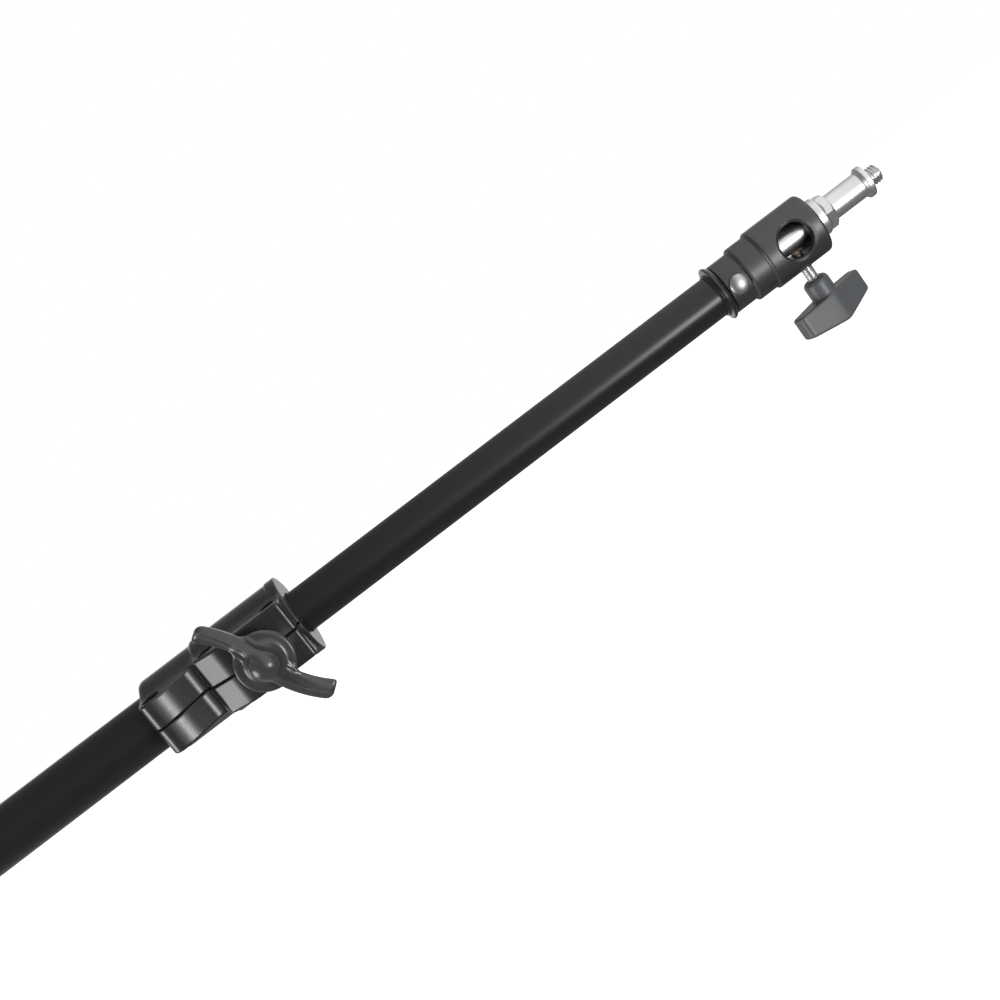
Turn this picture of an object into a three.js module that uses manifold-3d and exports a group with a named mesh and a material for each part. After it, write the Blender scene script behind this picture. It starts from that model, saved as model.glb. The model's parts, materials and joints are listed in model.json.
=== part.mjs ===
// Overhead boom arm: two telescoping tubes, a split clamp collar with a wing knob,
// and a head that holds a double-ended steel spigot with a T-shaped clamp knob.
// Lengths are millimetres and angles are degrees. The boom lies along X with its head
// towards +X, the wing knob faces -Y, and the T-knob hangs towards -Z. The origin is the
// point on the boom's axis where the clamp of a stand grips the outer tube.

import * as THREE from 'three';
import { mergeVertices } from 'three/addons/utils/BufferGeometryUtils.js';
import Module from 'manifold-3d';

const wasm = await Module();
wasm.setup();

// Clearances: seat is left where fixed pieces touch, run where a piece turns or slides.
// Cuts go past the face that they open by overrun.
const fit = { seat: 0.3, run: 0.2, overrun: 2 };

// Facets round a full turn, for large, middling and small round pieces, along one fillet and
// along one blade of the wing knob.
const facets = { large: 48, middle: 32, small: 16, fillet: 3, blade: 14 };

const outerTube = { diameter: 25, wall: 1.2, length: 620, clampPoint: 300 };

const innerTube = { diameter: 20, wall: 1.2, length: 618, beadHeight: 0.9, beadLength: 2.4 };

// How much of the inner tube shows between the collar and the bumper ring.
const exposure = 234.3;

const rearPlug = { rim: 3, rimFillet: 1.2, stem: 16, wall: 2, leadIn: 1 };

const innerPlug = { rim: 1.8, rimProud: 0.9, stem: 12, wall: 1.8 };

const glideBush = { length: 36, slit: 1.2 };

const mouthBush = { length: 14, flange: 1.6 };

// The collar is measured along X from its rear face. Its front block stands towards -Y.
const collar = {
  overlap: 28.5, frontMargin: 1.4, parting: 0.3,
  rearRadius: 17.9, frontRadius: 19.1, rimRadius: 19.6, rimLength: 5.4, rimEase: 0.6,
  rearFillet: 3.5, stepLength: 2, innerClearance: 0.5,
  tongueWidth: 1.6, tongueHeight: 1.4, tongueInset: 6, tongueFromSkin: 2.4,
};

const lug = {
  halfHeight: 13.2, front: 25.4, rear: 0.3, width: 10.7, corner: 3.5, edge: 1.2,
  waistStart: 23.5, waistEnd: 31.2, waistFront: 15.2, waistCorner: 3,
};

const block = {
  halfHeight: 14.6, rear: 28.2, front: 27, length: 46.2, edge: 1, corner: 1.8, boltFromFront: 17.2,
  padLength: 13.6, padFront: 19.4, padEase: 1.7, padCorner: 2,
};
collar.length = block.rear + block.length + collar.frontMargin;

const guideBush = { length: 6, wall: 2.2, fromFront: 2.5 };

// Screws that hold the two shells together: one in the rear lug, two in the front block.
const lugScrew = {
  diameter: 5, head: 8.5, headHeight: 5, socket: 4, socketDepth: 2.6, fromRear: 6,
};
const lugNut = { acrossFlats: 8, height: 4 };
const blockScrew = {
  diameter: 4, head: 7, headHeight: 4, socket: 3, socketDepth: 2.2, fromEnd: 5.7, padFromRear: 7.5,
  towardsTube: 0.8,
};
const blockNut = { acrossFlats: 7, height: 3.2 };
const screwHole = { clearance: 0.3, sink: 1.4 };

const brakeShoe = {
  length: 16, height: 12, thickness: 4.2, corner: 2, socketDepth: 2.2, travel: 1.875,
};

const wingBolt = { diameter: 8, tipDiameter: 6, headDiameter: 11, headHeight: 4, bury: 11 };

const wingNut = { acrossFlats: 13, height: 6.5, frontWall: 2.9 };

// Wing knob, measured outwards from its base: a skirt that widens to a rim, then a hollow cone up
// to the crown
const wingKnob = {
  standOff: 1, baseRadius: 10, rimRadius: 13.5, rimHeight: 15, rimEase: 1.2,
  crownRadius: 5.6, crownHeight: 27, crownDrop: 2.4,
};

// Its blades leave the crown and sweep round to their tips. Seen from the front, a flat face lies
// on one side of a blade's ridge and a scooped one on the other.
const blade = {
  span: 64, root: 2, angle: 102.5, sweep: 15, ease: 0.7, tipRound: 3,
  rootFlat: 5.4, tipFlat: 3.8, rootScoop: 3.4, tipScoop: 5.2,
  rootFront: 26.6, tipFront: 18.2, scoopEdge: 15.2, base: 13.2, draft: 1,
};

// Shares of a blade: how narrow its rounded tip gets, where the scoop is deepest, and how quickly
// its sweep and its fall from the crown follow its length.
const bladeShares = { tip: 0.62, scoopAcross: 0.36, scoopDown: 0.78, sweepPower: 1.1, fallPower: 0.6 };

// Bumper ring: a short neck, then a lip that slopes back to the head
const bumperRing = {
  length: 4.5, neckLength: 1.3, neckProud: 0.9, lipLength: 1.5, lipProud: 3.8, backProud: 2.4, ease: 0.4,
};

// Head, measured along X from its rear face.
const head = {
  length: 52.6, rearDiameter: 25, rearLength: 10.6, middleDiameter: 28, middleLength: 9.4,
  frontDiameter: 30.4, step: 1.3, frontFillet: 1.9, edgeEase: 0.3, bore: 17.2, boreDepth: 26.4,
  boreChamfer: 0.5, tubeDepth: 22.6, crossFromFront: 14.6, crossChamfer: 1,
};

const headRivet = { diameter: 4.4, domeDiameter: 9.2, domeHeight: 2.6, fromRear: 5.3 };

// Spigot, measured along X from the front face of the head, inwards and outwards.
const spigot = {
  diameter: 16, neck: 12.7, endFlange: 2.9, flankLength: 1.4, edge: 0.4,
  inside: 25.8, innerNeck: 15.6, lift: 0.3,
  shoulderDiameter: 19, shoulder: 4, shoulderFlank: 1.6, hexLength: 2.6,
  outerNeck: 18, outerFlange: 2.6, studDiameter: 8.5, studLength: 6.9, studChamfer: 1.1,
};

const pressurePad = { diameter: 5, thickness: 1.8, socket: 1, travel: 2 };

const tScrew = {
  diameter: 6, exposed: 6, tipDiameter: 2.4, headDiameter: 7.4, headHeight: 3.4, bury: 9,
};

// T-knob, measured downwards from the top of its hub, and turned about its screw.
const tKnob = {
  hubDiameter: 12.8, hubChamfer: 1.6, hubHeight: 9.4, width: 41.8, endHeight: 10.8, middleHeight: 14.9,
  middleThickness: 15, endThickness: 7.2, corner: 2.2, turn: 20, edge: 0.8, endRound: 2.4, ridgeEase: 3.5,
};

// Colours and finish, seen in the photograph.
const finish = {
  blackCoat: new THREE.MeshStandardMaterial({ color: 0x1d1e21, roughness: 0.38, metalness: 0.1 }),
  blackCasting: new THREE.MeshStandardMaterial({ color: 0x3a3b3e, roughness: 0.46, metalness: 0.1 }),
  greyNylon: new THREE.MeshStandardMaterial({ color: 0x55565a, roughness: 0.5, metalness: 0 }),
  whiteNylon: new THREE.MeshStandardMaterial({ color: 0xd8d8d2, roughness: 0.55, metalness: 0 }),
  rubber: new THREE.MeshStandardMaterial({ color: 0x18181a, roughness: 0.35, metalness: 0 }),
  brightSteel: new THREE.MeshStandardMaterial({ color: 0xcdced0, roughness: 0.25, metalness: 1 }),
  blackSteel: new THREE.MeshStandardMaterial({ color: 0x2b2c2f, roughness: 0.4, metalness: 0.6 }),
  brass: new THREE.MeshStandardMaterial({ color: 0xb89a55, roughness: 0.35, metalness: 1 }),
};

// Stations along X, from the rear of the boom to its tip.
const station = {};
station.rear = -outerTube.clampPoint;
station.outerEnd = station.rear + outerTube.length;
station.collar = station.outerEnd - collar.overlap;
station.collarFront = station.collar + collar.length;
station.ring = station.collarFront + exposure;
station.head = station.ring + bumperRing.length + fit.seat;
station.headFront = station.head + head.length;
station.cross = station.headFront - head.crossFromFront;
station.innerFront = station.head + head.tubeDepth - fit.seat;
station.innerRear = station.innerFront - innerTube.length;

const radius = {};
radius.outer = outerTube.diameter / 2;
radius.outerBore = radius.outer - outerTube.wall;
radius.inner = innerTube.diameter / 2;
radius.innerBore = radius.inner - innerTube.wall;
radius.slide = radius.inner + fit.run;
radius.seat = radius.outer + fit.run;
radius.collarBore = radius.inner + collar.innerClearance;
radius.guideSeat = radius.slide + guideBush.wall + fit.run;

// A closed mesh becomes a solid once its shared corners are merged.
function solidOf(geometry) {
  const plain = geometry.clone();
  plain.deleteAttribute('normal');
  plain.deleteAttribute('uv');
  const merged = mergeVertices(plain);
  const index = merged.index.array;
  const kept = [];
  for (let i = 0; i < index.length; i += 3) {
    const [a, b, c] = [index[i], index[i + 1], index[i + 2]];
    if (a !== b && b !== c && c !== a) kept.push(a, b, c);
  }
  return new wasm.Manifold(new wasm.Mesh({
    numProp: 3,
    vertProperties: new Float32Array(merged.attributes.position.array),
    triVerts: new Uint32Array(kept),
  }));
}

function geometryOf(solid) {
  const mesh = solid.getMesh();
  const geometry = new THREE.BufferGeometry();
  geometry.setAttribute('position', new THREE.BufferAttribute(mesh.vertProperties, mesh.numProp));
  geometry.setIndex(new THREE.BufferAttribute(mesh.triVerts, 1));
  geometry.computeVertexNormals();
  return geometry;
}

// Turned solid about X, from [station, radius] points that run from rear to front.
function turned(points, count = facets.large) {
  const profile = points.map(([x, r]) => new THREE.Vector2(r, x));
  const geometry = new THREE.LatheGeometry(profile, count);
  geometry.rotateZ(-Math.PI / 2);
  return solidOf(geometry);
}

// The same, closed on itself, for rings and tubes.
function turnedRing(points, count = facets.large) {
  return turned([...points, points[0]], count);
}

// Turned solids about Y and Z, as the bolts and their holes are.
function turnedAlongY(points, count = facets.small) {
  return turned(points, count).rotate([0, 0, 90]);
}

function turnedAlongZ(points, count = facets.small) {
  return turned(points, count).rotate([0, -90, 0]);
}

// Points of a quarter round from one [station, radius] corner side to the other.
function fillet([x0, r0], [corner, rim], [x1, r1]) {
  const curve = new THREE.QuadraticBezierCurve(
    new THREE.Vector2(x0, r0), new THREE.Vector2(corner, rim), new THREE.Vector2(x1, r1));
  return curve.getPoints(facets.fillet).map((p) => [p.x, p.y]);
}

// Outline through [x, y, r] corners, each rounded by its r.
function outline(corners) {
  const shape = new THREE.Shape();
  const count = corners.length;
  corners.forEach(([x, y, r = 0], i) => {
    const here = new THREE.Vector2(x, y);
    const before = new THREE.Vector2(...corners[(i + count - 1) % count]);
    const after = new THREE.Vector2(...corners[(i + 1) % count]);
    const start = here.clone().add(before.sub(here).setLength(r));
    const end = here.clone().add(after.sub(here).setLength(r));
    if (i === 0) shape.moveTo(start.x, start.y);
    else shape.lineTo(start.x, start.y);
    if (r > 0) shape.quadraticCurveTo(x, y, end.x, end.y);
  });
  shape.closePath();
  return shape;
}

// Outline extruded along Z between two heights, with eased edges.
function extruded(shape, low, high, edge = 0) {
  const geometry = new THREE.ExtrudeGeometry(shape, {
    depth: high - low - 2 * edge, curveSegments: facets.fillet,
    bevelEnabled: edge > 0, bevelThickness: edge, bevelSize: edge, bevelOffset: -edge, bevelSegments: 2,
  });
  return solidOf(geometry).translate([0, 0, low + edge]);
}

function boxBetween([x0, y0, z0], [x1, y1, z1]) {
  const geometry = new THREE.BoxGeometry(x1 - x0, y1 - y0, z1 - z0);
  return solidOf(geometry).translate([(x0 + x1) / 2, (y0 + y1) / 2, (z0 + z1) / 2]);
}

// Hexagonal prism about X with corners towards Z, or about Z with corners towards X
function hexPrism(acrossFlats, x0, x1) {
  const cornerRadius = acrossFlats / Math.sqrt(3);
  const geometry = new THREE.CylinderGeometry(cornerRadius, cornerRadius, x1 - x0, 6);
  geometry.rotateZ(-Math.PI / 2);
  return solidOf(geometry).translate([(x0 + x1) / 2, 0, 0]);
}

function hexPrismAlongZ(acrossFlats, z0, z1) {
  return hexPrism(acrossFlats, z0, z1).rotate([0, -90, 0]);
}

const boom = new THREE.Group();

function place(name, solid, material, at = [0, 0, 0], parent = boom) {
  const mesh = new THREE.Mesh(geometryOf(solid), material);
  mesh.name = name;
  mesh.position.set(...at);
  parent.add(mesh);
  return mesh;
}

// Outer tube and the plug in its rear end

function makeOuterTube() {
  return turnedRing([
    [0, radius.outerBore], [0, radius.outer],
    [outerTube.length, radius.outer], [outerTube.length, radius.outerBore],
  ]);
}

function makeRearPlug() {
  const stem = radius.outerBore - fit.seat;
  const bore = stem - rearPlug.wall;
  return turned([
    [-rearPlug.rim, 0],
    [-rearPlug.rim, radius.outer - rearPlug.rimFillet],
    ...fillet([-rearPlug.rim, radius.outer - rearPlug.rimFillet], [-rearPlug.rim, radius.outer],
      [rearPlug.rimFillet - rearPlug.rim, radius.outer]).slice(1),
    [0, radius.outer], [0, stem],
    [rearPlug.stem - rearPlug.leadIn, stem],
    [rearPlug.stem, stem - rearPlug.leadIn / 2],
    [rearPlug.stem, bore], [0, bore], [0, 0],
  ], facets.middle);
}

// Flanged bush that guides the inner tube in the mouth of the outer one
function makeMouthBush() {
  const sleeve = radius.outerBore - fit.run;
  return turnedRing([
    [-mouthBush.length, radius.slide], [-mouthBush.length, sleeve], [fit.run, sleeve],
    [fit.run, radius.outer], [fit.run + mouthBush.flange, radius.outer],
    [fit.run + mouthBush.flange, radius.slide],
  ], facets.middle);
}

// Collar

const bolt = {
  x: block.rear + block.length - block.boltFromFront,
  shoeFront: radius.inner + fit.seat,
};
bolt.shoeBack = bolt.shoeFront + brakeShoe.thickness;
bolt.nutFront = block.front - wingNut.frontWall;
bolt.nutBack = bolt.nutFront - wingNut.height;
bolt.knobBase = block.front + wingKnob.standOff;

const lugHole = { x: lug.rear + lugScrew.fromRear, y: -(radius.seat + lug.front) / 2 };
const padSlope = (block.front - block.padFront) / block.padLength;
const rearHole = { x: block.rear + blockScrew.padFromRear };
rearHole.y = -(radius.collarBore + block.padFront + padSlope * blockScrew.padFromRear) / 2;
const frontHole = { x: block.rear + block.length - blockScrew.fromEnd };
frontHole.y = -(radius.guideSeat + block.front) / 2 + blockScrew.towardsTube;

const bushEnd = collar.overlap + mouthBush.flange + fit.run + fit.seat;
const guideStart = collar.length - guideBush.fromFront - guideBush.length;

// Sleeve round the tubes, wider in front and with a raised rim at its mouth
function makeSleeve() {
  const stepAt = block.rear;
  const rimAt = collar.length - collar.rimLength;
  const core = radius.inner;
  return turnedRing([
    [0, core],
    ...fillet([0, collar.rearRadius - collar.rearFillet], [0, collar.rearRadius],
      [collar.rearFillet, collar.rearRadius]),
    [stepAt, collar.rearRadius],
    [stepAt + collar.stepLength, collar.frontRadius],
    [rimAt, collar.frontRadius],
    [rimAt + collar.rimEase, collar.rimRadius],
    [collar.length - collar.rimEase, collar.rimRadius],
    [collar.length, collar.rimRadius - collar.rimEase],
    [collar.length, core],
  ]);
}

// Rear lug that slopes back to a waist, seen from above
function makeLug() {
  const right = lug.rear + lug.width;
  const shape = outline([
    [lug.rear, 0], [lug.rear, -lug.front, lug.corner], [right, -lug.front, lug.corner],
    [lug.waistStart, -lug.waistFront, lug.waistCorner], [lug.waistEnd, -lug.waistFront], [lug.waistEnd, 0],
  ]);
  return extruded(shape, -lug.halfHeight, lug.halfHeight, lug.edge);
}

// Front block with its slanted pads, seen from above
function makeBlock() {
  const right = block.rear + block.length;
  const shape = outline([
    [block.rear, 0], [block.rear, -block.padFront, block.padCorner],
    [block.rear + block.padLength, -block.front, block.padEase],
    [right, -block.front, block.corner], [right, 0],
  ]);
  return extruded(shape, -block.halfHeight, block.halfHeight, block.edge);
}

// Space that the front outline of lug, waist and block leaves to the sleeve, seen from above
function makeFrontMask() {
  const reach = collar.rimRadius + fit.overrun;
  const lugRight = lug.rear + lug.width;
  const shape = outline([
    [-reach, reach], [-reach, -lug.front], [lugRight, -lug.front, lug.corner],
    [lug.waistStart, -lug.waistFront, lug.waistCorner], [lug.waistEnd, -lug.waistFront],
    [lug.waistEnd, -block.front], [collar.length + reach, -block.front], [collar.length + reach, reach],
  ]);
  return extruded(shape, -reach, reach);
}

// Room for both tubes, the flange of the mouth bush and the guide bush
function makeTubeRoom() {
  return turned([
    [-fit.overrun, 0], [-fit.overrun, radius.seat], [bushEnd, radius.seat],
    [bushEnd, radius.collarBore], [guideStart - fit.seat, radius.collarBore],
    [guideStart - fit.seat, radius.guideSeat],
    [guideStart + guideBush.length + fit.seat, radius.guideSeat],
    [guideStart + guideBush.length + fit.seat, radius.collarBore],
    [collar.length + fit.overrun, radius.collarBore], [collar.length + fit.overrun, 0],
  ]);
}

// Pockets for the brake shoe, the captive nut and the bolt, all along Y
function makeBoltRoom() {
  const shoeX = brakeShoe.length / 2 + fit.seat;
  const shoeZ = brakeShoe.height / 2 + fit.seat;
  const shoeRoom = boxBetween(
    [bolt.x - shoeX, -(bolt.shoeBack + brakeShoe.travel + fit.seat), -shoeZ], [bolt.x + shoeX, 0, shoeZ]);
  const nutFlats = wingNut.acrossFlats + 2 * fit.seat;
  const nutRoom = hexPrismAlongZ(nutFlats, bolt.nutBack - fit.seat, bolt.nutFront + fit.seat);
  const shank = wingBolt.diameter / 2 + fit.seat + fit.run;
  const mouth = block.front + fit.overrun;
  const boltRoom = turnedAlongY([[-mouth, 0], [-mouth, shank], [0, shank], [0, 0]]);
  return shoeRoom.add(nutRoom.rotate([90, 0, 0]).add(boltRoom).translate([bolt.x, 0, 0]));
}

// Room for one clamp screw: its head sunk from below and its nut from above
function makeScrewRoom(screw, nut, halfHeight, at) {
  const shank = screw.diameter / 2 + screwHole.clearance;
  const headRoom = screw.head / 2 + screwHole.clearance;
  const headTop = screw.headHeight + screwHole.sink - halfHeight;
  const hole = turnedAlongZ([
    [-halfHeight - fit.overrun, 0], [-halfHeight - fit.overrun, headRoom], [headTop, headRoom],
    [headTop, shank], [halfHeight + fit.overrun, shank], [halfHeight + fit.overrun, 0],
  ]);
  const nutFloor = halfHeight - nut.height - screwHole.sink;
  const nutFlats = nut.acrossFlats + 2 * screwHole.clearance;
  const nutRoom = hexPrismAlongZ(nutFlats, nutFloor, halfHeight + fit.overrun);
  return hole.add(nutRoom).translate([at.x, at.y, 0]);
}

const clampSets = [
  { name: 'lug', screw: lugScrew, nut: lugNut, halfHeight: lug.halfHeight, at: lugHole },
  { name: 'block_rear', screw: blockScrew, nut: blockNut, halfHeight: block.halfHeight, at: rearHole },
  { name: 'block_front', screw: blockScrew, nut: blockNut, halfHeight: block.halfHeight, at: frontHole },
];

function makeCollarBody() {
  let body = makeSleeve().intersect(makeFrontMask()).add(makeLug()).add(makeBlock());
  body = body.subtract(makeTubeRoom()).subtract(makeBoltRoom());
  for (const { screw, nut, halfHeight, at } of clampSets) {
    body = body.subtract(makeScrewRoom(screw, nut, halfHeight, at));
  }
  return body;
}

// Tongue on the back edge of the lower shell, which keys into a groove of the upper one
function makeTongue(extra) {
  const middle = collar.rearRadius - collar.tongueFromSkin;
  const half = collar.tongueWidth / 2 + extra;
  return boxBetween(
    [collar.tongueInset - extra, middle - half, -collar.tongueHeight],
    [collar.length - collar.tongueInset + extra, middle + half, collar.tongueHeight + extra]);
}

function makeShells() {
  const body = makeCollarBody();
  const reach = collar.length + block.front;
  const gap = collar.parting / 2;
  const above = boxBetween([-reach, -reach, gap], [reach, reach, reach]);
  const below = boxBetween([-reach, -reach, -reach], [reach, reach, -gap]);
  const upper = body.intersect(above).subtract(makeTongue(fit.seat));
  const lower = body.intersect(below).add(makeTongue(0));
  return { upper, lower };
}

function makeGuideBush() {
  return turnedRing([
    [0, radius.slide], [0, radius.slide + guideBush.wall],
    [guideBush.length, radius.slide + guideBush.wall], [guideBush.length, radius.slide],
  ], facets.middle);
}

// Socket cap screw along Z with its head at the bottom
function makeCapScrew(screw, length) {
  const body = turnedAlongZ([
    [0, 0], [0, screw.head / 2], [screw.headHeight, screw.head / 2],
    [screw.headHeight, screw.diameter / 2], [length, screw.diameter / 2], [length, 0],
  ]);
  const socket = hexPrismAlongZ(screw.socket, -fit.overrun, screw.socketDepth);
  return body.subtract(socket);
}

// Hexagonal nut along Z, round its screw
function makeNut(nut, screwDiameter) {
  const hole = screwDiameter / 2 + fit.run;
  const body = hexPrism(nut.acrossFlats, 0, nut.height);
  const top = nut.height + fit.overrun;
  const bore = turned([[-fit.overrun, 0], [-fit.overrun, hole], [top, hole], [top, 0]], facets.small);
  return body.subtract(bore).rotate([0, -90, 0]);
}

// Brake shoe, with a hollow face that grips the inner tube
function makeBrakeShoe() {
  const x = brakeShoe.length / 2;
  const z = brakeShoe.height / 2;
  const r = brakeShoe.corner;
  const plan = outline([[-x, -z, r], [x, -z, r], [x, z, r], [-x, z, r]]);
  const blank = extruded(plan, 0, bolt.shoeBack).rotate([90, 0, 0]);
  const end = x + fit.overrun;
  const tube = turned([[-end, 0], [-end, bolt.shoeFront], [end, bolt.shoeFront], [end, 0]]);
  const tip = wingBolt.tipDiameter / 2 + fit.seat;
  const floor = brakeShoe.socketDepth - bolt.shoeBack;
  const mouth = -bolt.shoeBack - fit.overrun;
  const socket = turnedAlongY([[mouth, 0], [mouth, tip], [floor, tip], [floor, 0]]);
  return blank.subtract(tube).subtract(socket);
}

// Wing bolt along its own axis, from its tip in the shoe to the head moulded into the knob
function wingBoltProfile(extra) {
  const shank = wingBolt.diameter / 2 + extra;
  const headEnd = bolt.knobBase + wingBolt.bury + extra;
  const headStart = bolt.knobBase + wingBolt.bury - wingBolt.headHeight - extra;
  const headRadius = wingBolt.headDiameter / 2 + extra;
  return { shank, headStart, headEnd, headRadius };
}

function makeWingBolt() {
  const { shank, headStart, headEnd, headRadius } = wingBoltProfile(0);
  const tipStart = bolt.shoeBack - brakeShoe.socketDepth + fit.seat;
  const shoulder = bolt.shoeBack + fit.seat;
  return turned([
    [tipStart, 0], [tipStart, wingBolt.tipDiameter / 2], [shoulder, wingBolt.tipDiameter / 2],
    [shoulder, shank], [headStart, shank], [headStart, headRadius], [headEnd, headRadius], [headEnd, 0],
  ], facets.small).rotate([0, 0, -90]);
}

// Closed loft through rings of points that all have the same count, with flat ends
function loft(rings) {
  const count = rings[0].length;
  const points = rings.flat();
  const index = [];
  for (let i = 0; i + 1 < rings.length; i += 1) {
    for (let k = 0; k < count; k += 1) {
      const a = i * count + k;
      const b = i * count + (k + 1) % count;
      index.push(a, b, b + count, a, b + count, a + count);
    }
  }
  const last = (rings.length - 1) * count;
  for (let k = 1; k + 1 < count; k += 1) {
    index.push(0, k + 1, k);
    index.push(last, last + k, last + k + 1);
  }
  const geometry = new THREE.BufferGeometry();
  geometry.setAttribute('position', new THREE.Float32BufferAttribute(points.flat(), 3));
  geometry.setIndex(index);
  return solidOf(geometry);
}

// Section of a blade at a share t of its length, as [across, outwards] points round it. The ridge
// is at 0 across, the flat face on its minus side and the scooped face on its plus side.
function bladeSection(t, taper, inset) {
  const flat = THREE.MathUtils.lerp(blade.rootFlat, blade.tipFlat, t) * taper;
  const scoop = THREE.MathUtils.lerp(blade.rootScoop, blade.tipScoop, t) * taper;
  const fall = t ** bladeShares.fallPower;
  const front = THREE.MathUtils.lerp(blade.rootFront, blade.tipFront, fall) - inset;
  const base = blade.base + inset;
  const e = blade.ease;
  const edge = Math.max(blade.scoopEdge, base + 2 * e);
  const deepest = THREE.MathUtils.lerp(front, edge, bladeShares.scoopDown);
  return [
    [0, front], [e - flat, front - e / 2], [-flat, front - 2 * e], [blade.draft - flat, base + e],
    [blade.draft + e - flat, base], [scoop - blade.draft - e, base], [scoop - e / 2, base + e],
    [scoop, edge - e / 2], [scoop - e, edge], [scoop * bladeShares.scoopAcross, deepest],
  ];
}

// One blade of the wing knob, lofted along its ridge
function makeBlade(turn) {
  const tip = blade.span / 2;
  const power = bladeShares.sweepPower;
  const sweep = THREE.MathUtils.degToRad(blade.sweep);
  const rings = [];
  for (let i = 0; i <= facets.blade; i += 1) {
    const t = i / facets.blade;
    const r = blade.root + (tip - blade.root) * t;
    const angle = THREE.MathUtils.degToRad(blade.angle + turn) + sweep * t ** power;
    const ahead = angle + sweep * power * t ** (power - 1) * r / (tip - blade.root);
    const side = [-Math.sin(ahead), Math.cos(ahead)];
    const intoTip = Math.max(0, (r - tip + blade.tipRound) / blade.tipRound);
    const close = 1 - Math.sqrt(1 - intoTip ** 2);
    const taper = 1 - (1 - bladeShares.tip) * close;
    const section = bladeSection(t, taper, blade.ease * close);
    const ridge = [r * Math.cos(angle), r * Math.sin(angle)];
    rings.push(section.map(([n, w]) => [ridge[0] + n * side[0], ridge[1] + n * side[1], w]));
  }
  return loft(rings);
}

// Wing knob about its own axis Z, with its base at 0
function makeWingKnob() {
  const k = wingKnob;
  const rim = fillet([k.rimHeight - k.rimEase, k.rimRadius], [k.rimHeight, k.rimRadius],
    [k.rimHeight, k.rimRadius - k.rimEase]);
  const cone = fillet([k.rimHeight, k.rimRadius - 2 * k.rimEase], [k.rimHeight, k.crownRadius],
    [k.crownHeight - k.crownDrop, k.crownRadius]);
  const crown = fillet([k.crownHeight - k.crownDrop, k.crownRadius], [k.crownHeight, k.crownRadius],
    [k.crownHeight, k.crownRadius / 2]);
  const hub = turnedAlongZ([
    [0, 0], [0, k.baseRadius], ...rim, ...cone, ...crown.slice(1), [k.crownHeight, 0],
  ], facets.middle);
  const { shank, headStart, headEnd, headRadius } = wingBoltProfile(fit.seat);
  const insert = turnedAlongZ([
    [bolt.knobBase - fit.overrun, 0], [bolt.knobBase - fit.overrun, shank], [headStart, shank],
    [headStart, headRadius], [headEnd, headRadius], [headEnd, 0],
  ]).translate([0, 0, -bolt.knobBase]);
  return hub.add(makeBlade(0)).add(makeBlade(180)).subtract(insert);
}

// Inner tube, the plug in its rear end and the bush that glides in the outer tube

function rivetRoom(centre, reach, extra) {
  const r = headRivet.diameter / 2 + extra;
  return turnedAlongY([[-reach, 0], [-reach, r], [reach, r], [reach, 0]]).translate([centre, 0, 0]);
}

function makeInnerTube() {
  const beadAt = 2 * fit.run + glideBush.length;
  const beadTop = [beadAt + innerTube.beadLength / 2, radius.inner + 2 * innerTube.beadHeight];
  const bead = fillet([beadAt, radius.inner], beadTop, [beadAt + innerTube.beadLength, radius.inner]);
  const tube = turnedRing([
    [0, radius.innerBore], [0, radius.inner], ...bead,
    [innerTube.length, radius.inner], [innerTube.length, radius.innerBore],
  ]);
  const rivetAt = station.head + headRivet.fromRear - station.innerRear;
  return tube.subtract(rivetRoom(rivetAt, innerTube.diameter, fit.run));
}

function makeInnerPlug() {
  const stem = radius.innerBore - fit.seat;
  const bore = stem - innerPlug.wall;
  return turned([
    [-innerPlug.rim, 0], [-innerPlug.rim, radius.inner + innerPlug.rimProud - fit.seat],
    [fit.seat - innerPlug.rim, radius.inner + innerPlug.rimProud],
    [0, radius.inner + innerPlug.rimProud], [0, stem],
    [innerPlug.stem, stem], [innerPlug.stem, bore], [0, bore], [0, 0],
  ], facets.middle);
}

// Split nylon ring between the plug's rim and the tube's bead
function makeGlideBush() {
  const skin = radius.outerBore - fit.run;
  const ring = turnedRing([
    [0, radius.slide], [0, skin], [glideBush.length, skin], [glideBush.length, radius.slide],
  ]);
  const slit = boxBetween([-fit.overrun, 0, -glideBush.slit / 2],
    [glideBush.length + fit.overrun, outerTube.diameter, glideBush.slit / 2]);
  return ring.subtract(slit);
}

function makeBumperRing() {
  const ring = bumperRing;
  const bore = radius.inner + fit.seat;
  const neck = radius.inner + ring.neckProud;
  const lip = radius.inner + ring.lipProud;
  const lipEnd = ring.neckLength + ring.lipLength;
  return turnedRing([
    [0, bore], [0, neck], [ring.neckLength, neck + ring.ease],
    [ring.neckLength + ring.ease, lip - ring.ease], [ring.neckLength + 2 * ring.ease, lip],
    [lipEnd, lip - ring.ease], [ring.length, radius.inner + ring.backProud], [ring.length, bore],
  ]);
}

// Head

const headEnd = {
  rear: head.rearDiameter / 2, middle: head.middleDiameter / 2, front: head.frontDiameter / 2,
  bore: head.bore / 2, tube: radius.inner + fit.run,
};
const crossAt = head.length - head.crossFromFront;

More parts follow.
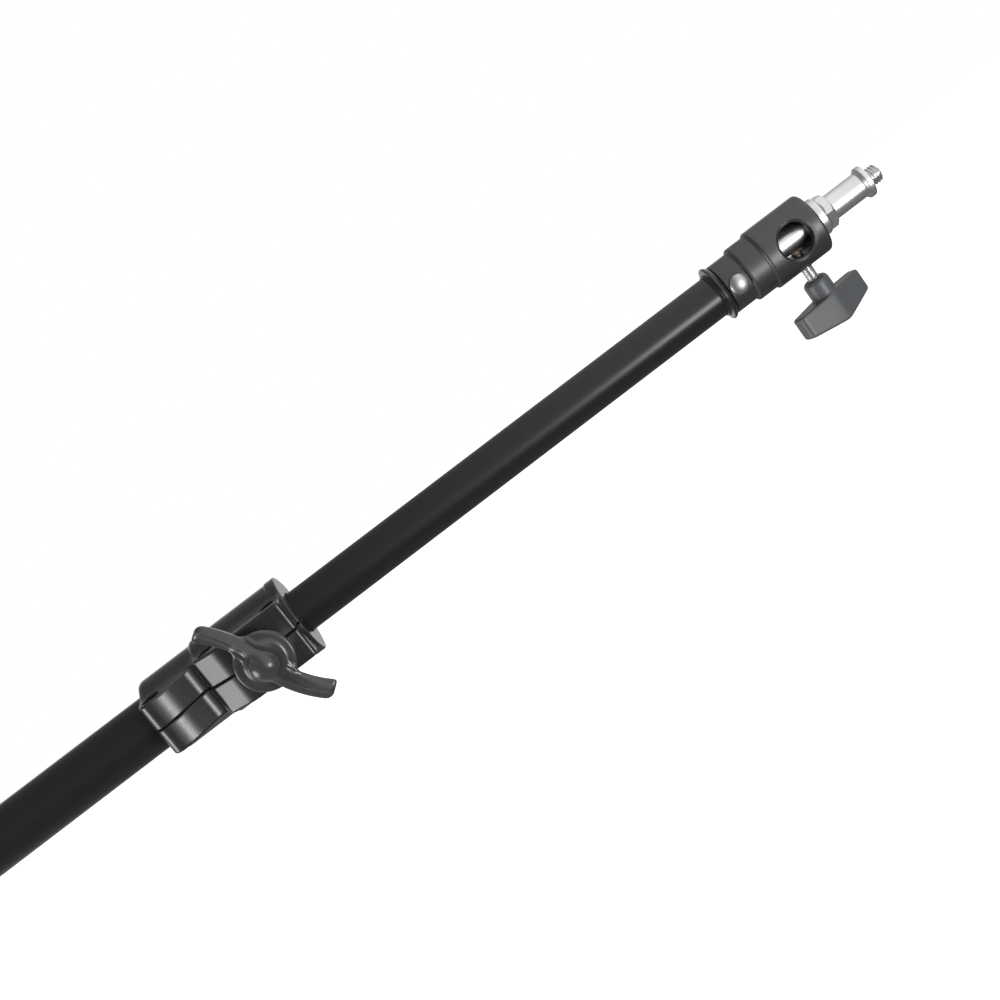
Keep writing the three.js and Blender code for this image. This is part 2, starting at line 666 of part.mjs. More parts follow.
function makeHead() {
  const middleAt = head.rearLength + head.step;
  const frontAt = middleAt + head.middleLength + head.step;
  const e = head.edgeEase;
  const blank = turned([
    [0, 0], [0, headEnd.rear - e], [e, headEnd.rear],
    [head.rearLength, headEnd.rear], [middleAt, headEnd.middle - e], [middleAt + e, headEnd.middle],
    [frontAt - head.step, headEnd.middle], [frontAt, headEnd.front - e], [frontAt + e, headEnd.front],
    ...fillet([head.length - head.frontFillet, headEnd.front], [head.length, headEnd.front],
      [head.length, headEnd.front - head.frontFillet]),
    [head.length, 0],
  ]);
  const tubeRoom = turned([[-fit.overrun, 0], [-fit.overrun, headEnd.tube], [head.tubeDepth, headEnd.tube],
    [head.tubeDepth, 0]]);
  const c = head.boreChamfer;
  const bore = turned([
    [head.length - head.boreDepth, 0], [head.length - head.boreDepth, headEnd.bore],
    [head.length - c, headEnd.bore], [head.length + fit.overrun, headEnd.bore + c + fit.overrun],
    [head.length + fit.overrun, 0],
  ]);
  return blank.subtract(tubeRoom).subtract(bore).subtract(makeCrossBore())
    .subtract(rivetRoom(headRivet.fromRear, head.rearDiameter, fit.run)).subtract(makeScrewBore());
}

// Bore right through the head along Y, with both mouths chamfered
function makeCrossBore() {
  const c = head.crossChamfer;
  const mouth = headEnd.front;
  const reach = mouth + fit.overrun;
  return turnedAlongY([
    [-reach, 0], [-reach, headEnd.bore + c + fit.overrun], [c - mouth, headEnd.bore],
    [mouth - c, headEnd.bore], [reach, headEnd.bore + c + fit.overrun], [reach, 0],
  ], facets.middle).translate([crossAt, 0, 0]);
}

// Tapped hole for the T-knob's screw, from below
function makeScrewBore() {
  const r = tScrew.diameter / 2 + fit.run;
  const bottom = -headEnd.front - fit.overrun;
  return turnedAlongZ([[bottom, 0], [bottom, r], [0, r], [0, 0]]).translate([crossAt, 0, 0]);
}

// Rivet across the head, with a dome on each side that sits on the round skin
function makeHeadRivet() {
  const skin = headEnd.rear + fit.run;
  const rim = headRivet.domeDiameter / 2;
  const seat = Math.sqrt(headEnd.rear ** 2 - rim ** 2) - fit.seat;
  const top = skin + headRivet.domeHeight;
  const curve = new THREE.QuadraticBezierCurve(
    new THREE.Vector2(skin, rim), new THREE.Vector2(top, rim), new THREE.Vector2(top, 0));
  const dome = curve.getPoints(2 * facets.fillet).map((p) => [p.x, p.y]);
  const button = turned([[seat, 0], [seat, rim], ...dome], facets.small).rotate([0, 0, 90]);
  const end = rim + fit.overrun;
  const round = turned([[-end, 0], [-end, skin], [end, skin], [end, 0]]);
  const buttons = button.add(button.rotate([0, 0, 180])).subtract(round);
  return buttons.add(rivetRoom(0, skin + fit.seat, 0));
}

// Spigot, alike inside and outside the head but for its shoulder, hexagon and stud
function makeSpigot() {
  const full = spigot.diameter / 2;
  const neck = spigot.neck / 2;
  const e = spigot.edge;
  const flank = spigot.flankLength;
  const innerEnd = -spigot.inside;
  const innerNeckAt = innerEnd + spigot.endFlange + flank;
  const innerNeckEnd = innerNeckAt + spigot.innerNeck;
  const shoulderAt = fit.seat;
  const shoulderEnd = shoulderAt + spigot.shoulder;
  const hexAt = shoulderEnd + spigot.shoulderFlank;
  const hexEnd = hexAt + spigot.hexLength;
  const neckEnd = hexEnd + flank + spigot.outerNeck;
  const flangeAt = neckEnd + flank;
  const flangeEnd = flangeAt + spigot.outerFlange;
  const studEnd = flangeEnd + spigot.studLength;
  const stud = spigot.studDiameter / 2;
  const shoulder = spigot.shoulderDiameter / 2;
  const body = turned([
    [innerEnd, 0], [innerEnd, full - e], [innerEnd + e, full], [innerEnd + spigot.endFlange, full],
    [innerNeckAt, neck], [innerNeckEnd, neck], [innerNeckEnd + flank, full],
    [shoulderAt, full], [shoulderAt, shoulder - e], [shoulderAt + e, shoulder],
    [shoulderEnd, shoulder], [hexAt, full], [hexEnd, full], [hexEnd + flank, neck],
    [neckEnd, neck], [flangeAt, full], [flangeEnd - e, full], [flangeEnd, full - e], [flangeEnd, stud],
    [studEnd - spigot.studChamfer, stud], [studEnd, stud - spigot.studChamfer], [studEnd, 0],
  ], facets.middle);
  return body.add(makeSpigotHexagon(shoulderEnd, hexEnd));
}

// Hexagon for a spanner, its corners turned off to the spigot's chamfers
function makeSpigotHexagon(shoulderEnd, hexEnd) {
  const full = spigot.diameter / 2;
  const corner = spigot.diameter / Math.sqrt(3);
  const run = corner - full;
  const blank = turned([[shoulderEnd, 0], [shoulderEnd, corner], [hexEnd, corner], [hexEnd + run, full],
    [hexEnd + run, 0]], facets.middle);
  return hexPrism(spigot.diameter, shoulderEnd, hexEnd + run).rotate([90, 0, 0]).intersect(blank);
}

const padTop = spigot.lift - spigot.neck / 2 - fit.seat;
const screwTop = padTop - pressurePad.thickness - fit.seat;
const hubTop = -(headEnd.front + tScrew.exposed);

// Small brass pad on the end of the T-knob's screw, which doesn't turn with it
function makePressurePad() {
  const r = pressurePad.diameter / 2;
  const socket = tScrew.tipDiameter / 2 + fit.run;
  const bottom = padTop - pressurePad.thickness;
  return turnedAlongZ([
    [bottom + pressurePad.socket, 0], [bottom + pressurePad.socket, socket], [bottom, socket],
    [bottom, r], [padTop, r], [padTop, 0],
  ]);
}

function tScrewHead(extra) {
  const bottom = hubTop - tScrew.bury - extra;
  const top = hubTop - tScrew.bury + tScrew.headHeight + extra;
  return { bottom, top, radius: tScrew.headDiameter / 2 + extra, shank: tScrew.diameter / 2 + extra };
}

function makeTScrew() {
  const h = tScrewHead(0);
  const tipTop = padTop - pressurePad.thickness + pressurePad.socket - fit.seat;
  return turnedAlongZ([
    [h.bottom, 0], [h.bottom, h.radius], [h.top, h.radius], [h.top, h.shank], [screwTop, h.shank],
    [screwTop, tScrew.tipDiameter / 2], [tipTop, tScrew.tipDiameter / 2], [tipTop, 0],
  ]);
}

// T-knob: a round hub on a bar whose underside comes to a shallow point. The bar is what its
// front outline and its plan outline have in common.
function makeTKnob() {
  const half = tKnob.width / 2;
  const barTop = hubTop - tKnob.hubHeight;
  const front = outline([
    [-half, barTop, tKnob.corner], [-half, barTop - tKnob.endHeight, tKnob.corner],
    [0, barTop - tKnob.middleHeight, 2 * tKnob.corner], [half, barTop - tKnob.endHeight, tKnob.corner],
    [half, barTop, tKnob.corner],
  ]);
  const middle = tKnob.middleThickness / 2;
  const side = tKnob.endThickness / 2;
  const plan = outline([
    [-half, -side, tKnob.endRound], [0, -middle, tKnob.ridgeEase], [half, -side, tKnob.endRound],
    [half, side, tKnob.endRound], [0, middle, tKnob.ridgeEase], [-half, side, tKnob.endRound],
  ]);
  const faceOn = extruded(front, -middle - tKnob.edge, middle + tKnob.edge).rotate([90, 0, 0]);
  const fromAbove = extruded(plan, barTop - tKnob.middleHeight - tKnob.edge, barTop + tKnob.edge);
  const bar = faceOn.intersect(fromAbove);
  const r = tKnob.hubDiameter / 2;
  const hub = turnedAlongZ([
    [barTop - tKnob.endHeight / 2, 0], [barTop - tKnob.endHeight / 2, tKnob.endThickness / 2],
    [barTop - tKnob.corner, r - tKnob.edge], [barTop, r],
    [hubTop - tKnob.hubChamfer, r], [hubTop, r - tKnob.hubChamfer], [hubTop, 0],
  ], facets.middle);
  const h = tScrewHead(fit.seat);
  const insert = turnedAlongZ([
    [h.bottom, 0], [h.bottom, h.radius], [h.top, h.radius], [h.top, h.shank],
    [hubTop + fit.overrun, h.shank], [hubTop + fit.overrun, 0],
  ]);
  return bar.rotate([0, 0, tKnob.turn]).add(hub).subtract(insert);
}

// Assembly

place('outer_tube', makeOuterTube(), finish.blackCoat, [station.rear, 0, 0]);
place('rear_end_plug', makeRearPlug(), finish.greyNylon, [station.rear - fit.seat, 0, 0]);
place('tube_mouth_bush', makeMouthBush(), finish.whiteNylon, [station.outerEnd, 0, 0]);

const collarGroup = new THREE.Group();
collarGroup.position.set(station.collar, 0, 0);
boom.add(collarGroup);
const shells = makeShells();
place('collar_upper_shell', shells.upper, finish.blackCasting, [0, 0, 0], collarGroup);
place('collar_lower_shell', shells.lower, finish.blackCasting, [0, 0, 0], collarGroup);
place('collar_guide_bush', makeGuideBush(), finish.whiteNylon, [guideStart, 0, 0], collarGroup);

for (const { name, screw, nut, halfHeight, at } of clampSets) {
  const screwBottom = screwHole.sink - fit.seat - halfHeight;
  const nutBottom = halfHeight - nut.height - screwHole.sink + fit.seat;
  const length = nutBottom + nut.height - screwBottom;
  const clampScrew = makeCapScrew(screw, length);
  const clampNut = makeNut(nut, screw.diameter);
  place(`${name}_screw`, clampScrew, finish.blackSteel, [at.x, at.y, screwBottom], collarGroup);
  place(`${name}_nut`, clampNut, finish.blackSteel, [at.x, at.y, nutBottom], collarGroup);
}

place('captive_nut', makeNut(wingNut, wingBolt.diameter).rotate([90, 0, 0]), finish.brightSteel,
  [bolt.x, -bolt.nutBack, 0], collarGroup);
place('brake_shoe', makeBrakeShoe(), finish.brass, [bolt.x, 0, 0], collarGroup);
place('wing_bolt', makeWingBolt(), finish.brightSteel, [bolt.x, 0, 0], collarGroup);

const knobGroup = new THREE.Group();
knobGroup.position.set(bolt.x, -bolt.knobBase, 0);
knobGroup.rotation.x = Math.PI / 2;
collarGroup.add(knobGroup);
place('wing_knob', makeWingKnob(), finish.greyNylon, [0, 0, 0], knobGroup);

place('inner_tube', makeInnerTube(), finish.blackCoat, [station.innerRear, 0, 0]);
place('inner_end_plug', makeInnerPlug(), finish.greyNylon, [station.innerRear - fit.seat, 0, 0]);
place('glide_bush', makeGlideBush(), finish.whiteNylon, [station.innerRear + fit.run, 0, 0]);

place('bumper_ring', makeBumperRing(), finish.rubber, [station.ring, 0, 0]);
place('head_socket', makeHead(), finish.blackCasting, [station.head, 0, 0]);
place('head_rivet', makeHeadRivet(), finish.brightSteel, [station.head + headRivet.fromRear, 0, 0]);
place('spigot', makeSpigot(), finish.brightSteel, [station.headFront, 0, spigot.lift]);

place('pressure_pad', makePressurePad(), finish.brass, [station.cross, 0, 0]);
place('t_knob_screw', makeTScrew(), finish.brightSteel, [station.cross, 0, 0]);
place('t_knob', makeTKnob(), finish.greyNylon, [station.cross, 0, 0]);

export default boom;
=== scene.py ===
"""Looks of the overhead boom arm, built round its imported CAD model.

Lengths are worked out in millimetres and turned into metres where a mesh is made.
The boom lies along X with its head towards +X, and the wing knob faces -Y."""

import json
import math

import bmesh
import bpy
import numpy as np
from mathutils import Matrix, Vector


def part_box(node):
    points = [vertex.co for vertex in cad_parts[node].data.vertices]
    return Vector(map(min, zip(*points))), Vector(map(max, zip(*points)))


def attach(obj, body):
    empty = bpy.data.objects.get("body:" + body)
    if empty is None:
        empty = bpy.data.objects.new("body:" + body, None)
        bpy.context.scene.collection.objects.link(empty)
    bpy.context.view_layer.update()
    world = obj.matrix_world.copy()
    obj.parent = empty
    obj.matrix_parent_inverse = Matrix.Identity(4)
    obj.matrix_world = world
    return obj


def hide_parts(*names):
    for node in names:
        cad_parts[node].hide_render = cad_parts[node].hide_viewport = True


MM = 0.001
TURN = 2 * np.pi
# Place of the colour among a Mix node's outputs, which all have the same name.
MIXED_COLOUR = 2

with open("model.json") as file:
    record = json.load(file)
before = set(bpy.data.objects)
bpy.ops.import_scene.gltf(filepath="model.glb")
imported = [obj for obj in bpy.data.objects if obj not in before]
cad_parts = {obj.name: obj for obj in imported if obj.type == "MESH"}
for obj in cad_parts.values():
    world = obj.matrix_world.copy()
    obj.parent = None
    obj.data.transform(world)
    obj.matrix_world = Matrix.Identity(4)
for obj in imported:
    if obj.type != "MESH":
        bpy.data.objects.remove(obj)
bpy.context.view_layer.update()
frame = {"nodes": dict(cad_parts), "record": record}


def low(node):
    """Lowest corner of a CAD node's box, in millimetres."""
    return np.array(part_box(node)[0]) / MM


def high(node):
    """Highest corner of a CAD node's box, in millimetres."""
    return np.array(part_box(node)[1]) / MM


def middle(node):
    """Centre of a CAD node's box, in millimetres."""
    return (low(node) + high(node)) / 2


# Shader maths


class Wire:
    """An output socket. Operators on it add Math nodes to its node tree."""

    def __init__(self, socket):
        self.socket = socket
        self.tree = socket.id_data

    def math(self, operation, *operands):
        node = self.tree.nodes.new("ShaderNodeMath")
        node.operation = operation
        for slot, operand in zip(node.inputs, operands):
            feed(self.tree, slot, operand)
        return Wire(node.outputs[0])

    def __add__(self, other):
        return self.math("ADD", self, other)

    def __radd__(self, other):
        return self.math("ADD", other, self)

    def __sub__(self, other):
        return self.math("SUBTRACT", self, other)

    def __rsub__(self, other):
        return self.math("SUBTRACT", other, self)

    def __mul__(self, other):
        return self.math("MULTIPLY", self, other)

    def __rmul__(self, other):
        return self.math("MULTIPLY", other, self)

    def held(self):
        """Kept between 0 and 1."""
        return self.math("MINIMUM", self.math("MAXIMUM", self, 0.0), 1.0)


def feed(tree, slot, value):
    if isinstance(value, Wire):
        tree.links.new(value.socket, slot)
    elif value is not None:
        slot.default_value = value


class Finish:
    """A material, or the world, as a tree of nodes."""

    def __init__(self, tree):
        self.tree = tree
        tree.nodes.clear()

    def node(self, kind, out=0, settings=None, **inputs):
        """One node: its settings first, then its sockets by name, with _ for a blank."""
        node = self.tree.nodes.new(kind)
        for key, value in (settings or {}).items():
            setattr(node, key, value)
        for key, value in inputs.items():
            feed(self.tree, self.slot(node, key), value)
        return Wire(node.outputs[out]) if node.outputs else None

    def slot(self, node, key):
        name = key.replace("_", " ")
        return next(s for s in node.inputs if s.name == name and s.enabled)

    def place(self, scale=(1.0, 1.0, 1.0)):
        """Object coordinates, stretched."""
        coordinates = self.node("ShaderNodeTexCoord", out="Object")
        return self.node("ShaderNodeMapping", Vector=coordinates, Scale=scale)

    def noise(self, scale, detail=3.0, stretch=(1.0, 1.0, 1.0), rough=0.5):
        return self.node("ShaderNodeTexNoise", out="Fac", Vector=self.place(stretch),
                         Scale=scale, Detail=detail, Roughness=rough)

    def blend(self, share, first, second):
        """Colour that goes from the first to the second with share."""
        return self.node("ShaderNodeMix", out=MIXED_COLOUR, settings={"data_type": "RGBA"},
                         Factor=share, A=first, B=second)

    def bump(self, height, depth, strength=1.0):
        return self.node("ShaderNodeBump", Height=height, Strength=strength, Distance=depth)

    def surface(self, **inputs):
        shader = self.node("ShaderNodeBsdfPrincipled", **inputs)
        self.node("ShaderNodeOutputMaterial", Surface=shader)


def grey(value, warm=0.0):
    """A grey, redder with warm above 0 and bluer below."""
    return (value * (1 + warm), value, value * (1 - warm), 1.0)


def material(name):
    made = bpy.data.materials.new(name)
    made.use_nodes = True
    return made, Finish(made.node_tree)


def coated_tube(name, tone, worn):
    """Black satin coating: a fine grain, faint lengthwise drawing lines and light scuffs."""
    made, f = material(name)
    drawn = f.noise(900.0, 2.0, stretch=(0.012, 1.0, 1.0))
    cloud = f.noise(18.0, 3.0, stretch=(0.4, 1.0, 1.0))
    spots = f.noise(420.0, 5.0, stretch=(0.12, 1.0, 1.0), rough=0.7)
    scuffs = ((spots - 0.69) * 9.0).held() * worn
    colour = f.blend(cloud, grey(tone * 0.85, -0.1), grey(tone * 1.15, -0.1))
    f.surface(Base_Color=f.blend(scuffs, colour, grey(0.16)),
              Roughness=0.26 + drawn * 0.08 + scuffs * 0.2,
              Specular_IOR_Level=0.35,
              Normal=f.bump(drawn + f.noise(2600.0, 2.0) * 0.5, 0.00003, 0.35))
    return made


def moulded_black(name, tone, rough, grain, worn=0.0, shine=0.5):
    """Moulded or painted black: fine grain, slow changes of tone and sheen, a few rubbed spots."""
    made, f = material(name)
    cloud = f.noise(60.0, 3.0)
    fine = f.noise(1500.0, 3.0)
    rubbed = ((f.noise(240.0, 4.0, rough=0.65) - 0.64) * 8.0).held() * worn
    colour = f.blend(cloud, grey(tone * 0.88, -0.06), grey(tone * 1.12, -0.06))
    f.surface(Base_Color=f.blend(rubbed, colour, grey(tone * 2.2)),
              Roughness=rough - 0.04 + fine * 0.1 + rubbed * 0.08,
              Specular_IOR_Level=shine,
              Normal=f.bump(fine, grain, 0.5))
    return made


def soft_rubber():
    made, f = material("ring_rubber")
    dust = ((f.noise(300.0, 4.0) - 0.6) * 5.0).held()
    f.surface(Base_Color=f.blend(dust, grey(0.012), grey(0.03)),
              Roughness=0.26 + dust * 0.2,
              Normal=f.bump(f.noise(700.0, 2.0), 0.00003, 0.3))
    return made


def turned_metal(name, tone, rough, rings, warm=0.0):
    """Turned and plated metal: fine tool rings round X, soft stains and a few nicks."""
    made, f = material(name)
    ridges = f.noise(rings, 2.0, stretch=(1.0, 0.03, 0.03))
    stain = f.noise(140.0, 4.0)
    nicks = ((f.noise(900.0, 3.0) - 0.68) * 10.0).held()
    colour = f.blend(stain, grey(tone * 0.9, warm), grey(tone * 1.06, warm))
    f.surface(Base_Color=f.blend(nicks * 0.6, colour, grey(tone * 0.62, warm)),
              Metallic=1.0,
              Roughness=rough + ridges * 0.1 + stain * 0.08,
              Normal=f.bump(ridges, 0.00002, 0.4))
    return made


def white_nylon():
    made, f = material("nylon_white")
    cloud = f.noise(120.0, 3.0)
    f.surface(Base_Color=f.blend(cloud, (0.74, 0.74, 0.70, 1.0), (0.84, 0.84, 0.81, 1.0)),
              Roughness=0.42 + cloud * 0.15,
              Normal=f.bump(f.noise(1200.0, 2.0), 0.00003, 0.3))
    return made


finishes = {
    "tube_coat": coated_tube("tube_satin_black", tone=0.011, worn=0.5),
    "collar_black": moulded_black("collar_moulded_black", tone=0.019, rough=0.27, grain=0.00004, worn=0.25),
    "head_black": moulded_black("head_satin_black", tone=0.014, rough=0.42, grain=0.00005, worn=0.3,
                                shine=0.9),
    "knob_plastic": moulded_black("knob_grey_black", tone=0.042, rough=0.25, grain=0.00002, worn=0.2),
    "plug_plastic": moulded_black("plug_matt_black", tone=0.04, rough=0.55, grain=0.00008),
    "nylon": white_nylon(),
    "rubber": soft_rubber(),
    "spigot_chrome": turned_metal("spigot_plated", tone=0.6, rough=0.26, rings=2600.0),
    "zinc_steel": turned_metal("screw_zinc", tone=0.62, rough=0.28, rings=1800.0),
    "brass": turned_metal("brass_plain", tone=0.4, rough=0.42, rings=1800.0, warm=0.22),
    "black_steel": moulded_black("screw_black_oxide", tone=0.022, rough=0.34, grain=0.00003, worn=0.3),
}
tknob_finish = moulded_black("t_knob_grey", tone=0.082, rough=0.42, grain=0.00005, worn=0.2)
rivet_finish = turned_metal("rivet_steel", tone=0.4, rough=0.34, rings=1800.0)


# Meshes


def finish_piece(mesh, name, body, slot, nodes, look=None):
    """A piece that rides on a body and stands for CAD nodes, with its slot's finish or its own."""
    piece = bpy.data.objects.new(name, mesh)
    bpy.context.scene.collection.objects.link(piece)
    mesh.materials.append(look or finishes[slot])
    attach(piece, body)
    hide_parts(*nodes)


def skin(name, grids, crease=32.0):
    """One mesh from grids of points in rows and columns. Each cell of a grid is a face. Points
    that fall together are joined, and edges that bend more than the crease stay sharp."""
    points, faces, start = [], [], 0
    for grid in grids:
        rows, columns = grid.shape[:2]
        index = start + np.arange(rows * columns).reshape(rows, columns)
        corners = [index[:-1, :-1], index[:-1, 1:], index[1:, 1:], index[1:, :-1]]
        faces.append(np.stack(corners, -1).reshape(-1, 4))
        points.append(grid.reshape(-1, 3))
        start += rows * columns
    mesh = bpy.data.meshes.new(name)
    mesh.from_pydata((np.concatenate(points) * MM).tolist(), [], np.concatenate(faces).tolist())
    work = bmesh.new()
    work.from_mesh(mesh)
    bmesh.ops.remove_doubles(work, verts=work.verts, dist=2e-7)
    bmesh.ops.dissolve_degenerate(work, edges=work.edges, dist=1e-8)
    bmesh.ops.recalc_face_normals(work, faces=work.faces)
    work.to_mesh(mesh)
    work.free()
    mesh.shade_smooth()
    mesh.set_sharp_from_angle(angle=math.radians(crease))
    return mesh


def turned(profile, axis="x", centre=(0, 0, 0), angles=None, count=160):
    """A profile of (along, radius) points carried round an axis through the centre: each point
    runs a circle of its own radius."""
    profile = np.asarray(profile, float)
    if angles is None:
        angles = np.linspace(0, TURN, count + 1)
        angles[-1] = 0
    along = np.repeat(profile[:, :1], len(angles), axis=1)
    first = profile[:, 1:] * np.cos(angles)
    second = profile[:, 1:] * np.sin(angles)
    order = {"x": (along, first, second), "z": (first, second, along)}
    return np.stack(order[axis], -1) + np.array(centre, float)


def rounded(corners, steps=6):
    """Polyline through (along, radius, rounding) corners. A rounded corner becomes a quadratic
    curve that starts and ends at its rounding's distance from the corner."""
    corners = [(*c, 0.0)[:3] for c in corners]
    t = np.linspace(0, 1, steps + 1)[:, None]
    path = [np.array([corners[0][:2]])]
    for before, here, after in zip(corners, corners[1:], corners[2:]):
        corner = np.array(here[:2])
        reach = here[2]
        if reach == 0:
            path.append(corner[None])
            continue
        back = np.array(before[:2]) - corner
        ahead = np.array(after[:2]) - corner
        start = corner + back / np.linalg.norm(back) * reach
        end = corner + ahead / np.linalg.norm(ahead) * reach
        path.append((1 - t) ** 2 * start + 2 * t * (1 - t) * corner + t ** 2 * end)
    path.append(np.array([corners[-1][:2]]))
    return np.concatenate(path)


def both(a, b, rounding):
    """Where two fields overlap: the larger distance, raised near the edge so that it is rounded."""
    near = np.maximum(rounding - np.abs(a - b), 0) / rounding
    return np.maximum(a, b) + near * near * rounding / 4


def either(a, b, rounding):
    """Two fields joined, with a fillet in the corner between them."""
    return -both(-a, -b, rounding)


def without(a, b, rounding):
    return both(a, -b, rounding)


def moulded(name, field, lowest, highest, cell):
    """The closed skin where a distance field is zero. Space is cut into cells. A cell that the
    skin crosses gets one point, the mean of the crossings on its edges, and each crossed edge
    gets a face from the four cells round it. The points then move down the field's slope on to
    the skin, and the slope gives their normals."""
    lowest = np.array(lowest, float)
    counts = np.ceil((np.array(highest) - lowest) / cell).astype(int) + 1
    x, y, z = (lowest[k] + cell * np.arange(counts[k]) for k in range(3))
    value = field(x[:, None, None], y[None, :, None], z[None, None, :])
    total = np.zeros((*counts, 3))
    hits = np.zeros(counts)
    crossed = []
    for axis in range(3):
        first = np.moveaxis(value, axis, 0)[:-1]
        second = np.moveaxis(value, axis, 0)[1:]
        found = np.argwhere(np.moveaxis((first < 0) != (second < 0), 0, axis))
        step = np.eye(3, dtype=int)[axis]
        here = value[tuple(found.T)]
        there = value[tuple((found + step).T)]
        at = found + (here / (here - there))[:, None] * step
        sides = np.eye(3, dtype=int)[[(axis + 1) % 3, (axis + 2) % 3]]
        ring = [found - sides[0] - sides[1], found - sides[1], found, found - sides[0]]
        for cells in ring:
            np.add.at(total, tuple(cells.T), at)
            np.add.at(hits, tuple(cells.T), 1)
        crossed.append((np.stack(ring, 1), here < 0))
    number = np.full(counts, -1)
    used = hits > 0
    number[used] = np.arange(used.sum())
    points = lowest + cell * total[used] / hits[used][:, None]
    faces = []
    for ring, outwards in crossed:
        quads = number[tuple(np.moveaxis(ring, -1, 0))]
        faces.append(np.where(outwards[:, None], quads, quads[:, ::-1]))
    nudge = cell / 20
    for _ in range(3):
        away = np.stack([field(*(points + n).T) - field(*(points - n).T) for n in np.eye(3) * nudge], 1)
        away /= 2 * nudge
        steep = np.maximum((away ** 2).sum(1), 0.2)
        shift = -(field(*points.T) / steep)[:, None] * away
        points = points + np.clip(shift, -cell / 2, cell / 2)
    mesh = bpy.data.meshes.new(name)
    mesh.from_pydata((points * MM).tolist(), [], np.concatenate(faces).tolist())
    mesh.shade_smooth()
    length = np.maximum(np.linalg.norm(away, axis=1), 1e-9)[:, None]
    mesh.normals_split_custom_set_from_vertices((away / length).tolist())
    return mesh


# Tubes and the pieces turned on a lathe

outer_rear, outer_front = low("outer_tube")[0], high("outer_tube")[0]
inner_rear, inner_front = low("inner_tube")[0], high("inner_tube")[0]
# With their coating the shown tubes are a little thicker than their solids.
outer_radius, inner_radius, tube_wall, tube_ease = 12.7, 10.15, 1.4, 0.3


def tube_profile(rear, front, radius, bead=()):
    """Outline of a tube's wall, with a bead's points in it if there is one."""
    inside = radius - tube_wall
    return rounded([(rear, inside), (rear, radius, tube_ease), *bead, (front, radius, tube_ease),
                    (front, inside, tube_ease), (rear, inside)])


outer_profile = tube_profile(outer_rear, outer_front, outer_radius)
finish_piece(skin("outer_tube_skin", [turned(outer_profile)]),
             "outer_tube_skin", "outer_boom", "tube_coat", ["outer_tube"])

bead_gap, bead_length, bead_height, bead_ease = 0.2, 2.4, 0.9, 0.5
bead_start = high("glide_bush")[0] + bead_gap
bead_points = [(bead_start, inner_radius, bead_ease),
               (bead_start + bead_length / 2, inner_radius + bead_height, 0.7),
               (bead_start + bead_length, inner_radius, bead_ease)]
inner_profile = tube_profile(inner_rear, inner_front, inner_radius, bead_points)
finish_piece(skin("inner_tube_skin", [turned(inner_profile)]),
             "inner_tube_skin", "inner_boom", "tube_coat", ["inner_tube"])

plug_face = low("rear_end_plug")[0]
plug_seat, stem_end = outer_rear - 0.3, outer_rear + 15.7
dish_bottom, dish_radius, plug_radius, stem_radius, hollow_radius = plug_face + 0.5, 8.2, 12.5, 10.5, 9.0
plug_profile = rounded([
    (dish_bottom, 0), (dish_bottom, dish_radius, 0.6), (plug_face, dish_radius + 0.8, 0.5),
    (plug_face, plug_radius, 1.2), (plug_seat, plug_radius, 0.3), (plug_seat, stem_radius + 0.5),
    (stem_end, stem_radius, 0.5), (stem_end, hollow_radius), (outer_rear, hollow_radius), (outer_rear, 0)])
finish_piece(skin("rear_plug_skin", [turned(plug_profile)]),
             "rear_plug_skin", "outer_boom", "plug_plastic", ["rear_end_plug"])

ring_at = low("bumper_ring")[0]
ring_bore, ring_collar, ring_lip = 10.3, 10.9, 13.8
lip_at, lip_end, ring_end = ring_at + 1.6, ring_at + 2.8, ring_at + 4.5
ring_profile = rounded([
    (ring_at, ring_bore), (ring_at, ring_collar, 0.3), (lip_at - 0.2, ring_collar + 0.3, 0.4),
    (lip_at, ring_lip, 0.6), (lip_end, ring_lip - 0.1, 0.6), (ring_end, 12.4, 0.3),
    (ring_end, ring_bore), (ring_at, ring_bore)])
finish_piece(skin("bumper_ring_skin", [turned(ring_profile)]),
             "bumper_ring_skin", "inner_boom", "rubber", ["bumper_ring"])


def rivet_button(side):
    """Half of the rivet: a domed button on the round skin of the head, with its rim bent to fit it. Each
    ring of the dome sits at the skin's radius plus the dome's own height, and a wall joins the dome's edge
    to the bent rim."""
    skin_radius, rim, dome, flatness, sunk = 12.55, 4.6, 2.6, 0.93, 0.2
    share = np.sin(np.linspace(0, np.pi / 2, 20))[:, None]
    angle = np.linspace(0, TURN, 65)
    angle[-1] = 0
    x, z = rim * share * np.cos(angle), rim * share * np.sin(angle)
    height = dome * np.sqrt(np.maximum(1 - (share * flatness) ** 2, 0)) * np.ones_like(x)
    top = skin_radius + height
    edge_x, edge_z = x[-1], z[-1]
    seat = np.sqrt(skin_radius ** 2 - edge_z ** 2) - sunk
    foot = np.stack([edge_x, seat, edge_z], -1)
    crown = np.stack([x, top, z], -1)
    wall = np.stack([crown[-1], foot])
    root = np.zeros_like(foot) + np.array([0, skin_radius - 0.9, 0])
    under = np.stack([foot, root])
    at = np.array([middle("head_rivet")[0], 0, 0])
    return [g * np.array([1, side, 1]) + at for g in (crown, wall, under)]


finish_piece(skin("head_rivet_skin", rivet_button(-1) + rivet_button(1), crease=50.0),
             "head_rivet_skin", "inner_boom", "spigot_chrome", ["head_rivet"], rivet_finish)


# Head

head_rear, head_front = low("head_socket")[0], high("head_socket")[0]
head_radius, bore_radius, bore_depth = 15.2, 8.6, 26.4
neck_radius, waist_radius = 12.5, 14.0
neck_end, waist_end, step_length = head_rear + 10.6, head_rear + 21.3, 1.2
socket_radius, socket_end = 10.3, head_rear + 22.6
nose_ease, nose_face, mouth_ease, mouth_depth = 1.9, 2.4, 1.2, 0.8
cross_at = middle("pressure_pad")[0]
QUARTER = 32


